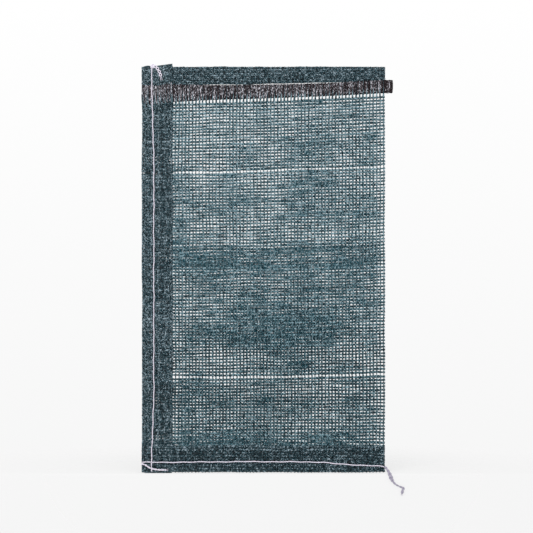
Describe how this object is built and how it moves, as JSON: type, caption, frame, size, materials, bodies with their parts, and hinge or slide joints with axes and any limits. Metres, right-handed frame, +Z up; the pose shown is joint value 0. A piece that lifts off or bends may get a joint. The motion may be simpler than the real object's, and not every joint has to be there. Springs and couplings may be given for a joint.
{
  "type": "mesh produce bag",
  "caption": "Flat open-mesh sack woven from plastic tape, with turned and chain-stitched left and bottom seams and a flat drawstring in the top hem.",
  "frame": {"origin": "middle of the bottom edge, where the flat bag would stand", "axes": "+Z up to the mouth, -Y towards the front (the side the seams are turned to), +X towards the folded right edge"},
  "size_m": [0.4844, 0.0127, 0.7941],
  "materials": {
    "mesh_tape": "open leno weave of dark teal plastic tape, soft sheen",
    "dense_tape": "layered dark teal plastic tape, soft sheen",
    "cord": "flat charcoal drawstring tape, matt",
    "thread": "pale lavender-white spun sewing thread, matt"
  },
  "bodies": {
    "bag_base": {"side_inner_turnover": "dense_tape", "side_outer_turnover": "dense_tape", "bottom_inner_turnover": "dense_tape", "bottom_outer_turnover": "dense_tape", "right_fold_edge": "mesh_tape", "side_seam_needle_thread": "thread", "side_seam_looper_thread": "thread", "bottom_seam_needle_thread": "thread", "bottom_seam_looper_thread": "thread"},
    "front_mouth": {"front_mesh_panel": "mesh_tape", "front_top_hem": "dense_tape"},
    "back_mouth": {"back_mesh_panel": "mesh_tape", "back_top_hem": "dense_tape"},
    "pull_loop": {"drawstring_loop": "cord"},
    "front_run": {"drawstring_front_run": "cord"},
    "back_run": {"drawstring_back_run": "cord"},
    "mouth_left": {"mouth_inner_turnover": "dense_tape", "mouth_outer_turnover": "dense_tape", "drawstring_inner_sewn_end": "cord", "drawstring_outer_sewn_end": "cord", "mouth_seam_needle_thread": "thread", "mouth_seam_looper_thread": "thread", "side_seam_knot": "thread"},
    "mouth_right": {"right_fold_top": "dense_tape"},
    "side_tail": {"side_seam_tail": "thread"},
    "start_tail": {"bottom_seam_start_tail": "thread"},
    "end_tail": {"bottom_seam_end_tail": "thread"}
  },
  "joints": [
    {"name": "mouth_open", "type": "hinge", "parent": "bag_base", "child": "front_mouth", "pos_m": [0, -0.0048, 0.048], "axis": [1, 0, 0], "range_deg": [0, 6]},
    {"name": "mouth_open_back", "type": "hinge", "parent": "bag_base", "child": "back_mouth", "pos_m": [0, 0.0048, 0.048], "axis": [-1, 0, 0], "range_deg": [0, 6]},
    {"name": "drawstring_pull", "type": "slide", "parent": "bag_base", "child": "pull_loop", "axis": [-1, 0, 0], "range_m": [-0.17, 0]},
    {"name": "front_run_slide", "type": "slide", "parent": "front_mouth", "child": "front_run", "axis": [-1, 0, 0], "range_m": [-0.17, 0]},
    {"name": "back_run_slide", "type": "slide", "parent": "back_mouth", "child": "back_run", "axis": [-1, 0, 0], "range_m": [-0.17, 0]},
    {"name": "left_gather", "type": "slide", "parent": "bag_base", "child": "mouth_left", "axis": [-1, 0, 0], "range_m": [-0.17, 0]},
    {"name": "right_gather", "type": "slide", "parent": "bag_base", "child": "mouth_right", "axis": [1, 0, 0], "range_m": [-0.17, 0]},
    {"name": "side_tail_swing", "type": "hinge", "parent": "mouth_left", "child": "side_tail", "pos_m": [-0.2005, -0.0027, 0.751], "axis": [0, -1, 0], "range_deg": [-10, 35]},
    {"name": "start_tail_swing", "type": "hinge", "parent": "bag_base", "child": "start_tail", "pos_m": [-0.225, -0.00585, 0.017], "axis": [0, 1, 0], "range_deg": [-20, 120]},
    {"name": "end_tail_swing", "type": "hinge", "parent": "bag_base", "child": "end_tail", "pos_m": [0.227, 0, 0.01], "axis": [0, 1, 0], "range_deg": [-45, 30]}
  ],
  "couplings": [
    {"joint": "mouth_open_back", "follows": "mouth_open", "ratio": 1},
    {"joint": "front_run_slide", "follows": "drawstring_pull", "ratio": 1},
    {"joint": "back_run_slide", "follows": "drawstring_pull", "ratio": 1},
    {"joint": "left_gather", "follows": "drawstring_pull", "ratio": 1},
    {"joint": "right_gather", "follows": "drawstring_pull", "ratio": 1}
  ]
}
